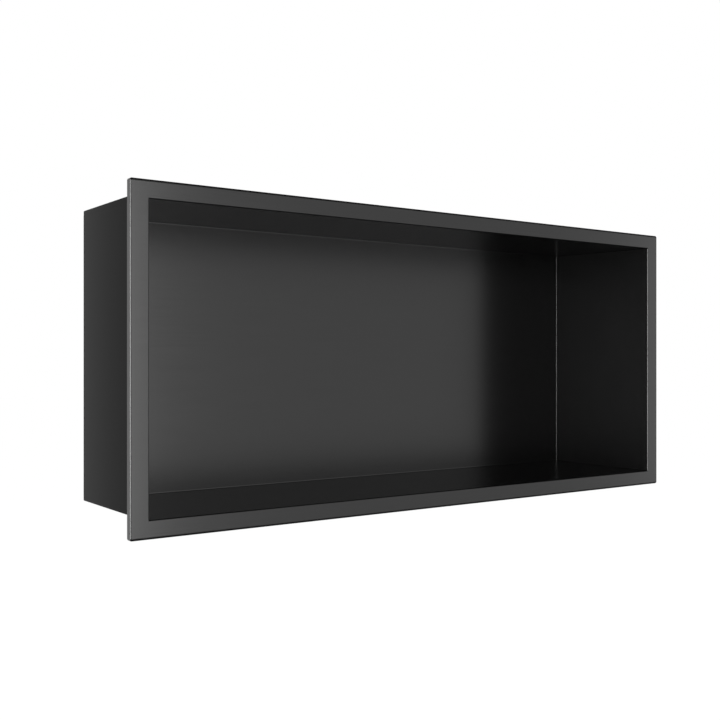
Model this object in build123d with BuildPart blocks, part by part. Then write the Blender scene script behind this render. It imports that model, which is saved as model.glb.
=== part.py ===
# Shower niche insert: a tray folded and welded from stainless sheet, open at the front.
# Its front edge turns outwards into a flat rim, and the rim's own edge turns back into a short lip.
# The origin is the middle of the tile face that the lip rests on: +X right, +Y into the wall, +Z up.

import os

from build123d import *

# Rim
rim_width = 457.2
rim_height = 203.2
rim_border = 11.0  # rim's outer edge to the inside of the tray's walls
lip_depth = 4.5  # rim's front face to the edge that rests on the tiles
corner_ease = 0.35  # how much rounder the rim's ground corners are than its folds

# Tray
tray_depth = 101.6  # rim's front face to the outside of the back
floor_fall = 0.4  # how much higher the floor is at the back than at the rim, so that it drains
ceiling_rise = 1.8  # how much higher the ceiling is at the back than at the rim
end_wall_rise = 2.4  # welding edge: how far the end walls stand above the ceiling's high end

# Sheet and its folds
sheet = 0.8
rim_fold = 0.1  # inside radius of the sharp folds at the opening and the lip
back_fold = 0.4  # inside radius of the folds round the back
seam_round = 0.7  # outside radius of the ground weld seams from front to back

# Sizes that follow
inner_width = rim_width - 2 * rim_border
inner_height = rim_height - 2 * rim_border
rim_fold_outside = rim_fold + sheet
rim_corner = rim_fold_outside + corner_ease
front = -lip_depth
rim_rear = front + sheet
back_inside = front + tray_depth - sheet
end_wall_end = back_inside - back_fold

rim_plane = Plane.XZ.offset(lip_depth)


def side_outline(wall):
    """The tray from the side, a wall's thickness outside the hollow: upright back, sloping floor and ceiling."""
    half_height = inner_height / 2 + wall
    back = back_inside + wall
    return [
        (front, -half_height),
        (front, half_height),
        (back, half_height + ceiling_rise),
        (back, floor_fall - half_height),
    ]


with BuildPart() as niche_tray:
    # Outside of the tray, with its weld seams ground and its back edges folded
    with BuildSketch(Plane.YZ):
        with BuildLine():
            Polyline(*side_outline(sheet), close=True)
        make_face()
    extrude(amount=inner_width / 2 + sheet, both=True)
    fillet(faces().filter_by(Axis.X).edges().filter_by(Axis.Z, reverse=True), radius=seam_round)
    fillet(faces().sort_by(Axis.Y)[-1].edges(), radius=back_fold + sheet)

    # Flat rim
    with BuildSketch(rim_plane):
        RectangleRounded(rim_width, rim_height, rim_corner)
    extrude(amount=-sheet)

    # Lip turned back from the rim's outer edge
    with BuildSketch(rim_plane):
        lip = RectangleRounded(rim_width, rim_height, rim_corner)
        offset(lip, amount=-sheet, mode=Mode.SUBTRACT)
    extrude(amount=-lip_depth)

    # The hollow, folded round its back
    with BuildSketch(Plane.YZ):
        with BuildLine():
            Polyline(*side_outline(0), close=True)
        make_face()
    extrude(amount=inner_width / 2, both=True, mode=Mode.SUBTRACT)
    hollow_back = faces().filter_by(Axis.Y).sort_by(Axis.Y)[-2]
    fillet(hollow_back.edges(), radius=back_fold)

    # Folds of the rim: its front turns into the tray and into the lip, and its rear has the same folds' insides
    fillet(faces().sort_by(Axis.Y)[0].edges(), radius=rim_fold_outside)
    rim_back = faces().filter_by(Axis.Y).sort_by(Axis.Y)[1]
    fillet(rim_back.edges(), radius=rim_fold)

    # Welding edges: both end walls run on above the ceiling
    with BuildSketch(Plane.XY.offset(inner_height / 2)):
        with Locations((0, (rim_rear + end_wall_end) / 2)):
            with GridLocations(inner_width + sheet, 0, 2, 1):
                Rectangle(sheet, end_wall_end - rim_rear)
    extrude(amount=ceiling_rise + sheet + end_wall_rise)

niche_tray.part.label = "niche_tray"

os.makedirs("parts", exist_ok=True)
export_step(niche_tray.part, "parts/niche_tray.step")
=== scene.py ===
import math

import bpy
import numpy as np
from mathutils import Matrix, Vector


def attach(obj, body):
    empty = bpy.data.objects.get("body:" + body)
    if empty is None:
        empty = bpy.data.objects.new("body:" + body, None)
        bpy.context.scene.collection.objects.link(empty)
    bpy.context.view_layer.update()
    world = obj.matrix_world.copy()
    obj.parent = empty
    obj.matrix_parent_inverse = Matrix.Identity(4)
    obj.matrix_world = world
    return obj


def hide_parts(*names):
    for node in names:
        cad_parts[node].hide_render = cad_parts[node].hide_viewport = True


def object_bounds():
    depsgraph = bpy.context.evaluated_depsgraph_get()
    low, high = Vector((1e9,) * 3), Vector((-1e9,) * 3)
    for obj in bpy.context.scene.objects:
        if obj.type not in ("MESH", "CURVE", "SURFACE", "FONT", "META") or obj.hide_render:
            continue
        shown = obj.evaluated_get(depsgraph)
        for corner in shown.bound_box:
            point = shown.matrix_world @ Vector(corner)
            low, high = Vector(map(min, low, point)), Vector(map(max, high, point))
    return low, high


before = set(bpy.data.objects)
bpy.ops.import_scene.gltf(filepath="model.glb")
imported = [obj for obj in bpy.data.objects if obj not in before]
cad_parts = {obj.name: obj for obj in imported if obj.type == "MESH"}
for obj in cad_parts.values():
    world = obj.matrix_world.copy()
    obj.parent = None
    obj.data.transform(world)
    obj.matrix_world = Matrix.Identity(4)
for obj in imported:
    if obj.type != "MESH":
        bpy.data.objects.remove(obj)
cad_low, cad_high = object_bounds()

MM = 0.001

# Rim and tray
HALF_WIDTH = cad_high.x
HALF_HEIGHT = cad_high.z
FRONT = cad_low.y
BACK = cad_high.y
RIM_BORDER = 11.0 * MM  # rim's outer edge to the inside of the tray's walls, in the solid
FLOOR_FALL = 0.4 * MM  # how much higher the floor is at the back than at the rim, so that it drains
CEILING_RISE = 1.8 * MM  # how much higher the ceiling is at the back than at the rim
WELD_EDGE_RISE = 2.4 * MM  # how far the end walls stand above the ceiling's high end

# Sheet, folds and ground corners
SHEET = 0.8 * MM
RIM_FOLD = 0.1 * MM  # inside radius at the opening and the lip
BACK_FOLD = 0.4 * MM  # inside radius round the back
# The show side at the rim's ends and along its long sides: the rim's width, how wide the folds into the
# lip and into the opening lie on its face, and the two radii of the fold into the back, along it and in depth
ENDS = {
    "border": 11.4 * MM,
    "lip_fold": 0.9 * MM,
    "mouth_fold": 0.8 * MM,
    "back_fold": (0.45 * MM, 0.45 * MM),
}
LONG_SIDES = {
    "border": 11.0 * MM,
    "lip_fold": 1.7 * MM,
    "mouth_fold": 0.85 * MM,
    "back_fold": (0.85 * MM, 0.18 * MM),
}
RIM_CORNER = 1.25 * MM  # ground corners of the rim and the lip
OUTER_SEAM = 0.7 * MM  # ground weld seams outside the tray, from front to back
INNER_SEAM = (0.3 * MM, 0.9 * MM)  # weld in the tray's corners: along floor or ceiling, and up the end wall
CUT_EDGE = 0.12 * MM  # deburred edges of the sheet
FOLD_STEPS = 14  # straight steps in each fold's curve
CORNER_STEPS = 8  # straight steps in each corner's curve

# Camera, fitted to the rim's straight edges
CAMERA_PLACE = (-447.98 * MM, -531.66 * MM, -0.3 * MM)
CAMERA_TURN = -35.54  # degrees from straight into the wall, below nought to the right
LENS = 50.0  # millimetres, on a sensor 36 mm wide

# Studio
FLOOR_DROP = 1.2  # a niche sits about this far above the shower's floor
FLOOR_SIZE = 60.0
WORLD_LEVEL = 1.0  # the strength at which white shows as white
PANEL_POWER = 4.0  # watts that one square metre of a softbox needs for a radiance of one
# Softboxes: degrees to the right of straight in front of the niche, metres away, wide and high, and the
# radiance that each adds to the white round it
SOFTBOXES = {
    "front_softbox": {"azimuth": 10.5, "distance": 1.8, "width": 0.28, "height": 1.30, "radiance": 3.2},
    "left_fill": {"azimuth": -45.0, "distance": 1.7, "width": 0.30, "height": 0.85, "radiance": 1.4},
    "left_key": {"azimuth": -80.0, "distance": 1.7, "width": 0.85, "height": 0.85, "radiance": 11.0},
    "right_softbox": {"azimuth": 62.0, "distance": 1.8, "width": 0.38, "height": 0.90, "radiance": 0.7},
}
# Dark flags: their lowest and highest corners, and only mirrors see them
FLAGS = {
    "flag_above": ((-0.95, -0.95, 0.6), (1.8, 0.95, 0.6)),
    "flag_below": ((-0.95, -0.95, -0.6), (1.8, 0.95, -0.6)),
    "flag_right": ((1.2, -0.45, -0.6), (1.2, 2.5, 0.6)),
}


def arc(centre, radius, start, end):
    """A fold's curve: centre plus radius times the cosine and sine of evenly spaced angles, in degrees.

    An elliptic fold has a radius for each coordinate.
    """
    turn = np.radians(np.linspace(start, end, FOLD_STEPS + 1))
    return centre + np.multiply(radius, np.column_stack([np.cos(turn), np.sin(turn)]))


def sheet_section(border, lip_fold, mouth_fold, back_fold):
    """The sheet's outline in one wall, as inset from the rim's outer edge and depth: show side, then reverse.

    Quarter circles and quarter ellipses for the folds and the cut edge, with the straight runs between them
    left to the grid's own edges. The reverse has the solid's own folds in every wall.
    """
    outside = RIM_FOLD + SHEET
    show = np.concatenate([
        arc((border + back_fold[0], BACK - SHEET - back_fold[1]), back_fold, 90, 180),
        arc((border - mouth_fold, FRONT + mouth_fold), mouth_fold, 0, -90),
        arc((lip_fold, FRONT + outside), (lip_fold, outside), -90, -180),
        arc((CUT_EDGE, -CUT_EDGE), CUT_EDGE, 180, 90),
    ])
    reverse = np.concatenate([
        arc((SHEET - CUT_EDGE, -CUT_EDGE), CUT_EDGE, 90, 0),
        arc((outside, FRONT + outside), RIM_FOLD, 180, 270),
        arc((RIM_BORDER - outside, FRONT + outside), RIM_FOLD, -90, 0),
        arc((RIM_BORDER + BACK_FOLD, BACK - SHEET - BACK_FOLD), BACK_FOLD + SHEET, 180, 90),
    ])
    return show, reverse


def round_rectangles(half_width, half_height, corner, turn):
    """Rounded rectangles, one per row: a corner is an arc whose centre lies its radii in from the sides."""
    right = np.repeat([1, -1, -1, 1], CORNER_STEPS + 1)
    up = np.repeat([1, 1, -1, -1], CORNER_STEPS + 1)
    x = np.outer(half_width - corner[0], right) + np.outer(corner[0], np.cos(turn))
    z = np.outer(half_height - corner[1], up) + np.outer(corner[1], np.sin(turn))
    return x, z


def depth_share(depth):
    """How far a depth lies from the rim's front, nought, to the inside of the back, one."""
    return (depth - FRONT) / (BACK - SHEET - FRONT)


def tray_grid():
    """The tray's surface: the section carried round the opening, one rounded rectangle for each point of it.

    A point's rectangle is the rim's, smaller all round by its inset. Corners keep a common centre on the rim
    and lip, are near sharp inside the tray, and are ground round outside it, half as much at the back. Ends
    and long sides have their own section, and in a corner the depth goes from one to the other by the squares
    of cosine and sine. Floor and ceiling rise by the depth's share of their slope.
    """
    show, reverse = sheet_section(**ENDS)
    inset, depth = np.concatenate([show, reverse]).T
    long_inset, long_depth = np.concatenate(sheet_section(**LONG_SIDES)).T
    on_rim = inset < RIM_BORDER / 2
    outer_wall = (np.arange(len(inset)) >= len(show)) & ~on_rim
    round_back = np.clip((inset - RIM_BORDER + SHEET) / (BACK_FOLD + SHEET), 0, 1)
    corner = np.where(on_rim, RIM_CORNER - inset, np.reshape(INNER_SEAM, (2, 1)))
    corner = np.where(outer_wall, OUTER_SEAM * (1 - round_back / 2), corner)
    turn = np.radians(np.add.outer(np.arange(4) * 90, np.linspace(0, 90, CORNER_STEPS + 1)).ravel())
    x, z = round_rectangles(HALF_WIDTH - inset, HALF_HEIGHT - long_inset, corner, turn)
    y = np.outer(depth, np.cos(turn) ** 2) + np.outer(long_depth, np.sin(turn) ** 2)
    rise = np.where(z > 0, CEILING_RISE, FLOOR_FALL)
    z = z + rise * np.where(on_rim[:, None], 0, depth_share(y))
    return np.stack([x, y, z], axis=-1), len(show)


def running_length(points, axis):
    """Distance travelled along one direction of a grid, starting at nought."""
    step = np.linalg.norm(np.diff(points, axis=axis), axis=-1)
    start = np.zeros_like(np.take(step, [0], axis=axis))
    return np.concatenate([start, np.cumsum(step, axis=axis)], axis=axis)


def quad_corners(values):
    """What a grid holds at the four corners of each of its quads."""
    return np.stack([values[:-1, :-1], values[1:, :-1], values[1:, 1:], values[:-1, 1:]], axis=2)


def closed_mesh(name, grid, mirrored=False):
    """A closed mesh on a grid whose last column joins its first: its quads, then a flat face on each end row.

    The faces of a mirrored grid are turned round, so that they point outwards too.
    """
    rows, columns = grid.shape[:2]
    index = np.arange(rows * columns).reshape(rows, columns)
    quads = quad_corners(np.column_stack([index, index[:, :1]])).reshape(-1, 4)
    ends = np.stack([index[0], index[-1, ::-1]])
    order = slice(None, None, -1) if mirrored else slice(None)
    faces = quads[:, order].tolist() + ends[:, order].tolist()
    mesh = bpy.data.meshes.new(name)
    mesh.from_pydata(grid.reshape(-1, 3).tolist(), [], faces)
    mesh.shade_smooth()
    return mesh


def tray_mesh():
    """The tray as a closed mesh on its grid, with two finishes and a grain map; its end rows are the back.

    The grain map is in metres. On the rim's front and on the back it is the flat sheet's own x and z, because
    both were brushed along their length. Elsewhere it runs round the opening in u and along the section in v.
    """
    grid, show_rows = tray_grid()
    looped = np.concatenate([grid, grid[:, :1]], axis=1)
    u = running_length(looped, axis=1)
    v = running_length(looped, axis=0)
    quad_uv = quad_corners(np.stack([u, v], axis=-1))
    rim_front = 2 * FOLD_STEPS + 1  # the row of quads after the folds into the back and into the opening
    quad_uv[rim_front] = quad_corners(looped[..., [0, 2]])[rim_front]
    back_uv = np.concatenate([grid[0], grid[-1, ::-1]])[:, [0, 2]]

    mesh = closed_mesh("tray_sheet", grid)
    layer = mesh.uv_layers.new(name="grain")
    layer.data.foreach_set("uv", np.concatenate([quad_uv.reshape(-1, 2), back_uv]).ravel())
    rows, columns = grid.shape[:2]
    reverse_side = np.repeat(np.arange(rows - 1) >= show_rows, columns)
    finish = np.concatenate([reverse_side, [False, True]]).astype(np.int32)
    mesh.polygons.foreach_set("material_index", finish)
    return mesh


def weld_edge_mesh(side):
    """An end wall's strip above the ceiling: a thin profile with rounded top edges, carried front to back.

    Its foot follows the ceiling's slope, where the wall's own seam starts to round. Its head stays level, and
    drops along a quarter circle at the back.
    """
    inner = HALF_WIDTH - RIM_BORDER
    ceiling_top = HALF_HEIGHT - RIM_BORDER + SHEET
    head = ceiling_top + CEILING_RISE + WELD_EDGE_RISE
    start = FRONT + SHEET
    end = BACK - SHEET - BACK_FOLD
    turn = np.radians(np.linspace(0, 90, FOLD_STEPS + 1))
    y = np.concatenate([[start], end - SHEET + SHEET * np.sin(turn)])
    top = np.concatenate([[head], head - SHEET + SHEET * np.cos(turn)])
    edge_rise = np.concatenate([[0], CUT_EDGE * np.sin(turn), CUT_EDGE * np.cos(turn), [0]])
    across = np.concatenate([
        [SHEET],
        SHEET - CUT_EDGE + CUT_EDGE * np.cos(turn),
        CUT_EDGE - CUT_EDGE * np.sin(turn),
        [0],
    ])
    on_foot = np.zeros(len(across), bool)
    on_foot[[0, -1]] = True
    foot = ceiling_top - OUTER_SEAM + CEILING_RISE * depth_share(y)
    x = np.broadcast_to(side * (inner + across), (len(y), len(across)))
    z = np.where(on_foot, foot[:, None], top[:, None] - CUT_EDGE + edge_rise)
    grid = np.stack([x, np.broadcast_to(y[:, None], x.shape), z], axis=-1)
    return closed_mesh("weld_edge", grid, mirrored=side < 0)


def linear(hex_colour):
    """An sRGB hex value as linear red, green, blue and alpha."""
    level = np.array([int(hex_colour[i:i + 2], 16) for i in (1, 3, 5)]) / 255
    low = level / 12.92
    high = ((level + 0.055) / 1.055) ** 2.4
    return (*np.where(level <= 0.04045, low, high).tolist(), 1.0)


def add_node(tree, kind, inputs, **settings):
    """Adds one node: settings are its properties, and each input gets a value or a link from an output."""
    node = tree.nodes.new(kind)
    for name, value in settings.items():
        setattr(node, name, value)
    for socket, value in inputs.items():
        if isinstance(value, bpy.types.NodeSocket):
            tree.links.new(value, node.inputs[socket])
        else:
            node.inputs[socket].default_value = value
    return node


def new_material(name):
    """An empty node material and its tree."""
    material = bpy.data.materials.new(name)
    material.use_nodes = True
    material.node_tree.nodes.clear()
    return material, material.node_tree


def satin_black_steel():
    """Stainless sheet brushed satin and coated black in vacuum: a dark metal that blurs what it mirrors."""
    material, tree = new_material("satin_black_coated_steel")
    stroke_length = 60 * MM
    stroke_width = 0.6 * MM  # true brush marks are ten times finer, and are drawn this coarse to show at all
    grain_map = add_node(tree, "ShaderNodeUVMap", {}, uv_map="grain")
    along_strokes = add_node(tree, "ShaderNodeMapping", {
        "Vector": grain_map.outputs["UV"],
        "Scale": (1 / stroke_length, 1 / stroke_width, 1),
    })
    strokes = add_node(tree, "ShaderNodeTexNoise", {
        "Vector": along_strokes.outputs["Vector"], "Scale": 1, "Detail": 3, "Roughness": 0.6,
    }, noise_dimensions="2D")
    roughness = add_node(tree, "ShaderNodeMapRange", {
        "Value": strokes.outputs["Fac"], "From Min": 0.2, "From Max": 0.8, "To Min": 0.23, "To Max": 0.27,
    })
    tint = add_node(tree, "ShaderNodeMixRGB", {
        "Fac": strokes.outputs["Fac"], "Color1": linear("#3E3E3E"), "Color2": linear("#444444"),
    })
    relief = add_node(tree, "ShaderNodeBump", {
        "Height": strokes.outputs["Fac"], "Strength": 0.05, "Distance": 0.02 * MM,
    })
    stroke_way = add_node(tree, "ShaderNodeTangent", {}, direction_type="UV_MAP", uv_map="grain")
    steel = add_node(tree, "ShaderNodeBsdfPrincipled", {
        "Base Color": tint.outputs["Color"],
        "Metallic": 1.0,
        "Roughness": roughness.outputs["Result"],
        "Anisotropic": 0.5,
        "Anisotropic Rotation": 0.25,  # a quarter turn: what is mirrored smears across the strokes
        "Tangent": stroke_way.outputs["Tangent"],
        "Normal": relief.outputs["Normal"],
    })
    add_node(tree, "ShaderNodeOutputMaterial", {"Surface": steel.outputs["BSDF"]})
    return material


def matt_black_reverse():
    """The sheet's reverse, unbrushed under a dull black coat, with painted shade: darker towards the rim,
    greyer towards the back.
    """
    material, tree = new_material("matt_black_coated_reverse")
    pimple = 1.2 * MM  # the dull skin's texture is some tenths of a millimetre, drawn coarser to show
    painted_shade_power = 2.0  # painted shade: the grey grows with the square of the depth, so it is darkest at the rim
    mottling = 0.12  # the share of the grey that the pimples add at any depth
    place = add_node(tree, "ShaderNodeTexCoord", {})
    skin = add_node(tree, "ShaderNodeTexNoise", {
        "Vector": place.outputs["Object"], "Scale": 1 / pimple, "Detail": 2, "Roughness": 0.5,
    })
    roughness = add_node(tree, "ShaderNodeMapRange", {
        "Value": skin.outputs["Fac"], "To Min": 0.78, "To Max": 0.88,
    })
    along = add_node(tree, "ShaderNodeSeparateXYZ", {"Vector": place.outputs["Object"]})
    share = add_node(tree, "ShaderNodeMapRange", {
        "Value": along.outputs["Y"], "From Min": FRONT, "From Max": BACK,
    })
    painted_shade = add_node(tree, "ShaderNodeMath", {
        0: share.outputs["Result"], 1: painted_shade_power,
    }, operation="POWER")
    mottle_and_painted_shade = add_node(tree, "ShaderNodeMath", {
        0: skin.outputs["Fac"], 1: mottling, 2: painted_shade.outputs["Value"],
    }, operation="MULTIPLY_ADD")
    # painted shade: darkest at the rim and greyer towards the back, with the pimples' random mottle on top
    tint = add_node(tree, "ShaderNodeMixRGB", {
        "Fac": mottle_and_painted_shade.outputs["Value"], "Color1": linear("#0A0A0A"), "Color2": linear("#212121"),
    })
    relief = add_node(tree, "ShaderNodeBump", {
        "Height": skin.outputs["Fac"], "Strength": 0.1, "Distance": 0.05 * MM,
    })
    coat = add_node(tree, "ShaderNodeBsdfPrincipled", {
        "Base Color": tint.outputs["Color"],
        "Roughness": roughness.outputs["Result"],
        "IOR": 1.45,
        "Specular IOR Level": 0.12,
        "Normal": relief.outputs["Normal"],
    })
    add_node(tree, "ShaderNodeOutputMaterial", {"Surface": coat.outputs["BSDF"]})
    return material


def add_piece(name, mesh, materials):
    """A finished piece: its mesh at the origin, its finishes, and normals that keep flat faces flat."""
    piece = bpy.data.objects.new(name, mesh)
    bpy.context.scene.collection.objects.link(piece)
    for material in materials:
        mesh.materials.append(material)
    flat = piece.modifiers.new("flat_faces", "WEIGHTED_NORMAL")
    flat.weight = 100  # the most there is: the largest face at a point gives its normal
    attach(piece, "root")
    return piece


def add_camera():
    """A level camera, as far from the niche as the photograph's converging edges give."""
    camera = bpy.data.objects.new("camera", bpy.data.cameras.new("camera"))
    camera.data.lens = LENS
    camera.location = CAMERA_PLACE
    camera.rotation_euler = (math.radians(90), 0, math.radians(CAMERA_TURN))
    bpy.context.scene.collection.objects.link(camera)
    bpy.context.scene.camera = camera


def add_world():
    """White all round, at the level of a white background."""
    world = bpy.data.worlds.new("white_studio")
    bpy.context.scene.world = world
    world.use_nodes = True
    tree = world.node_tree
    tree.nodes.clear()
    white = add_node(tree, "ShaderNodeBackground", {"Color": linear("#FFFFFF"), "Strength": WORLD_LEVEL})
    add_node(tree, "ShaderNodeOutputWorld", {"Surface": white.outputs["Background"]})


def pale_floor():
    """White vinyl floor: what its colour lacks to white glows for eye and mirrors, so shadows still show."""
    material, tree = new_material("pale_floor_vinyl")
    path = add_node(tree, "ShaderNodeLightPath", {})
    mirrored = add_node(tree, "ShaderNodeMath", {
        0: path.outputs["Is Glossy Ray"], 1: path.outputs["Is Transmission Ray"],
    }, operation="MAXIMUM")
    seen = add_node(tree, "ShaderNodeMath", {
        0: path.outputs["Is Camera Ray"], 1: mirrored.outputs["Value"],
    }, operation="MAXIMUM")
    colour = linear("#F4F4F4")
    lack = add_node(tree, "ShaderNodeMath", {
        0: seen.outputs["Value"], 1: 1 - colour[0],
    }, operation="MULTIPLY")
    vinyl = add_node(tree, "ShaderNodeBsdfPrincipled", {
        "Base Color": colour,
        "Roughness": 1.0,
        "Specular IOR Level": 0.0,
        "Emission Color": linear("#FFFFFF"),
        "Emission Strength": lack.outputs["Value"],
    })
    add_node(tree, "ShaderNodeOutputMaterial", {"Surface": vinyl.outputs["BSDF"]})
    return material


def charcoal_flag_cloth():
    """Charcoal wool cloth, which soaks up most light: it draws the dark lines in the folds that mirror it."""
    material, tree = new_material("charcoal_wool_cloth")
    cloth = add_node(tree, "ShaderNodeBsdfDiffuse", {"Color": linear("#4A4A4A")})
    add_node(tree, "ShaderNodeOutputMaterial", {"Surface": cloth.outputs["BSDF"]})
    return material


def add_card(name, low, high, material):
    """A flat card between two opposite corners: level where they share their height, otherwise upright."""
    if low[2] == high[2]:
        second = (high[0], low[1], low[2])
        fourth = (low[0], high[1], low[2])
    else:
        second = (high[0], high[1], low[2])
        fourth = (low[0], low[1], high[2])
    mesh = bpy.data.meshes.new(name)
    mesh.from_pydata([low, second, high, fourth], [], [(0, 1, 2, 3)])
    mesh.materials.append(material)
    card = bpy.data.objects.new(name, mesh)
    bpy.context.scene.collection.objects.link(card)
    return card


def add_floor():
    """A wide level floor, well below the niche."""
    reach = FLOOR_SIZE / 2
    add_card("floor", (-reach, -reach, -FLOOR_DROP), (reach, reach, -FLOOR_DROP), pale_floor())


def add_flag(name, low, high, material):
    """A dark card that only mirrors see, and that shades nothing."""
    flag = add_card(name, low, high, material)
    flag.visible_camera = False
    flag.visible_diffuse = False
    flag.visible_transmission = False
    flag.visible_shadow = False


def add_softbox(name, azimuth, distance, width, height, radiance):
    """A lit panel that faces the niche from an azimuth, with the power that gives it its radiance."""
    lamp = bpy.data.lights.new(name, "AREA")
    lamp.shape = "RECTANGLE"
    lamp.size = width
    lamp.size_y = height
    lamp.energy = PANEL_POWER * width * height * radiance
    softbox = bpy.data.objects.new(name, lamp)
    turn = math.radians(azimuth)
    softbox.location = (distance * math.sin(turn), -distance * math.cos(turn), 0)
    softbox.rotation_euler = (math.radians(90), 0, turn)
    softbox.visible_camera = False
    bpy.context.scene.collection.objects.link(softbox)


satin = satin_black_steel()
matt = matt_black_reverse()
tray = add_piece("folded_tray", tray_mesh(), [satin, matt])
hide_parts("niche_tray")
for side_name, side in (("left", -1), ("right", 1)):
    add_piece(f"{side_name}_weld_edge", weld_edge_mesh(side), [matt])

add_camera()
add_world()
add_floor()
cloth = charcoal_flag_cloth()
for flag_name, (low_corner, high_corner) in FLAGS.items():
    add_flag(flag_name, low_corner, high_corner, cloth)
for softbox_name, setting in SOFTBOXES.items():
    add_softbox(softbox_name, **setting)
bpy.context.scene.view_settings.view_transform = "Standard"
